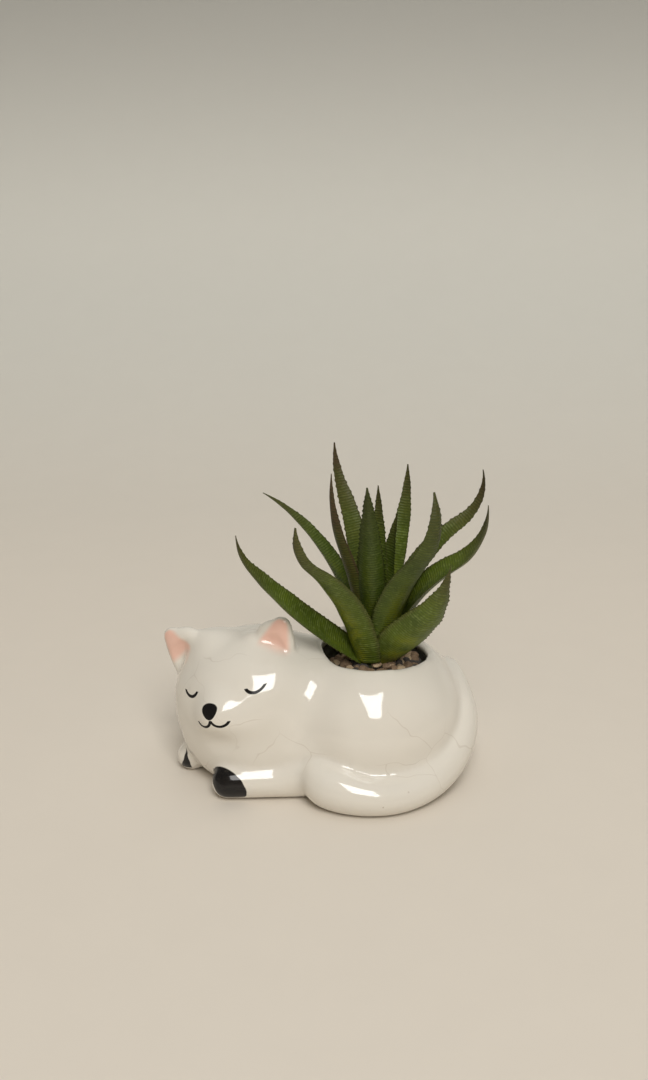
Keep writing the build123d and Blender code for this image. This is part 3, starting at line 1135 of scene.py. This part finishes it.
@dataclass
class Studio:
    """Backdrop, lights and camera."""

    # The rise and the wall carry painted shade: the paper gets darker up the sweep, standing in for light
    # falling off.
    floor_colour: Colour = (0.775, 0.715, 0.63)
    rise_painted_shade_colour: Colour = (0.70, 0.69, 0.635)
    wall_painted_shade_colour: Colour = (0.36, 0.355, 0.33)
    world_colour: Colour = (0.94, 0.98, 1.05)
    world_strength: float = 0.60
    key_energy: float = 34.0
    key_size: tuple[float, float] = (1.05, 1.3)
    key_place: tuple[float, float, float] = (0.2, -1.5, 1.8)
    key_colour: Colour = (1.0, 0.985, 0.96)
    ceiling_energy: float = 7.0
    ceiling_size: tuple[float, float] = (1.6, 1.6)
    ceiling_place: tuple[float, float, float] = (0.1, 0.25, 1.6)
    ceiling_colour: Colour = (1.0, 0.99, 0.97)
    lamp_aim: tuple[float, float, float] = (-0.02, 0.0, 0.03)
    mottle_colour: Colour = (0.4, 0.36, 0.3)
    mottle_strength: float = 0.05
    floor_size: tuple[float, float] = (6.0, 3.6)
    floor_centre_y: float = -0.9
    wall_height: float = 2.4
    sweep_radius: float = 0.6
    sweep_steps: int = 24
    camera_place: Vector = field(default_factory=lambda: Vector((-19.5, -463.32, 264.08)) * MM)
    camera_pitch: float = math.radians(-20.346)
    camera_lens: float = 44.0
    camera_sensor: float = 36.0

    def backdrop(self) -> None:
        """Make a floor that sweeps up into a wall behind the object, with painted shade that darkens the
        paper up the sweep.
        """
        deselect()
        bpy.ops.mesh.primitive_plane_add(size=1.0)
        sweep = bpy.context.view_layer.objects.active
        sweep.name = "studio_sweep"
        sweep.scale = (*self.floor_size, 1.0)
        sweep.location = (0.0, self.floor_centre_y, 0.0)
        bpy.ops.object.transform_apply(location=True, rotation=True, scale=True)
        points = sweep.data.vertices
        for edge in sweep.data.edges:
            edge.select = all(points[index].co.y > self.floor_centre_y for index in edge.vertices)
        for point in points:
            point.select = point.co.y > self.floor_centre_y
        bpy.ops.object.mode_set(mode="EDIT")
        bpy.ops.mesh.extrude_region_move(TRANSFORM_OT_translate={"value": (0.0, 0.0, self.wall_height)})
        bpy.ops.object.mode_set(mode="OBJECT")
        apply_modifier(
            sweep, "BEVEL", width=self.sweep_radius, segments=self.sweep_steps, limit_method="ANGLE"
        )
        activate(sweep)
        bpy.ops.object.shade_smooth()
        shader = Shader("studio_paper")
        _, y, z = shader.split(shader.place)
        # Painted shade: the paper darkens from the floor over the rise and further up the wall.
        back = shader.math("ADD", y, z)
        tone = shader.blend(shader.step(back, 0.1, 0.7), self.floor_colour, self.rise_painted_shade_colour)
        tone = shader.blend(shader.step(back, 0.75, 1.3), tone, self.wall_painted_shade_colour)
        mottle = shader.math("MULTIPLY", shader.cloud(20 * MM, 4.0), self.mottle_strength)
        shader.set(Base_Color=shader.blend(mottle, tone, self.mottle_colour))
        shader.set(Roughness=0.85, Specular_IOR_Level=0.2)
        dress(sweep, shader.material)

    def lamp(
        self,
        name: str,
        size: tuple[float, float],
        place: tuple[float, float, float],
        energy: float,
        colour: Colour,
    ) -> bpy.types.Object:
        """Add one rectangular soft light that looks at the object.

        Args:
            name: The lamp's name.
            size: Its width and height in metres.
            place: Where it stands.
            energy: Its power in watts.
            colour: Its colour.

        Returns:
            The lamp.
        """
        data = bpy.data.lights.new(name, "AREA")
        data.shape = "RECTANGLE"
        data.size, data.size_y = size
        data.energy = energy
        data.color = colour
        lamp = bpy.data.objects.new(name, data)
        bpy.context.scene.collection.objects.link(lamp)
        lamp.location = place
        aim = Vector(self.lamp_aim) - Vector(place)
        lamp.rotation_euler = aim.to_track_quat("-Z", "Y").to_euler()
        return lamp

    def lights(self) -> None:
        """Set the window light, the ceiling's light and the even light of the room."""
        self.lamp("window", self.key_size, self.key_place, self.key_energy, self.key_colour)
        ceiling = self.lamp(
            "ceiling", self.ceiling_size, self.ceiling_place, self.ceiling_energy, self.ceiling_colour
        )
        ceiling.visible_glossy = False
        world = bpy.data.worlds.new("studio_air")
        bpy.context.scene.world = world
        world.use_nodes = True
        air = world.node_tree.nodes["Background"]
        air.inputs["Color"].default_value = (*self.world_colour, 1.0)
        air.inputs["Strength"].default_value = self.world_strength

    def camera(self) -> None:
        """Place the camera where the photograph was taken from."""
        data = bpy.data.cameras.new("photo_camera")
        data.sensor_fit = "AUTO"
        data.sensor_width = self.camera_sensor
        data.lens = self.camera_lens
        data.clip_start = 0.01
        eye = bpy.data.objects.new("photo_camera", data)
        bpy.context.scene.collection.objects.link(eye)
        eye.location = self.camera_place
        eye.rotation_euler = (math.pi / 2 + self.camera_pitch, 0.0, 0.0)
        bpy.context.scene.camera = eye

    def build(self) -> None:
        """Set the whole studio."""
        self.backdrop()
        self.lights()
        self.camera()
        bpy.context.scene.view_settings.view_transform = "Standard"


def main() -> None:
    """Build the studio and every piece in order."""
    logging.basicConfig(level=logging.INFO, format="%(name)s: %(message)s")
    Studio().build()
    cat = CatSkin()
    cat.dress(cat.build())
    aloe = Aloe()
    aloe.dress([aloe.build(number, leaf) for number, leaf in enumerate(aloe.leaves, 1)])
    bed = Bed()
    bed.dress(bed.build_soil(), bed.build_gravel())
    HiddenCore().dress()


if __name__ == "__main__":
    main()
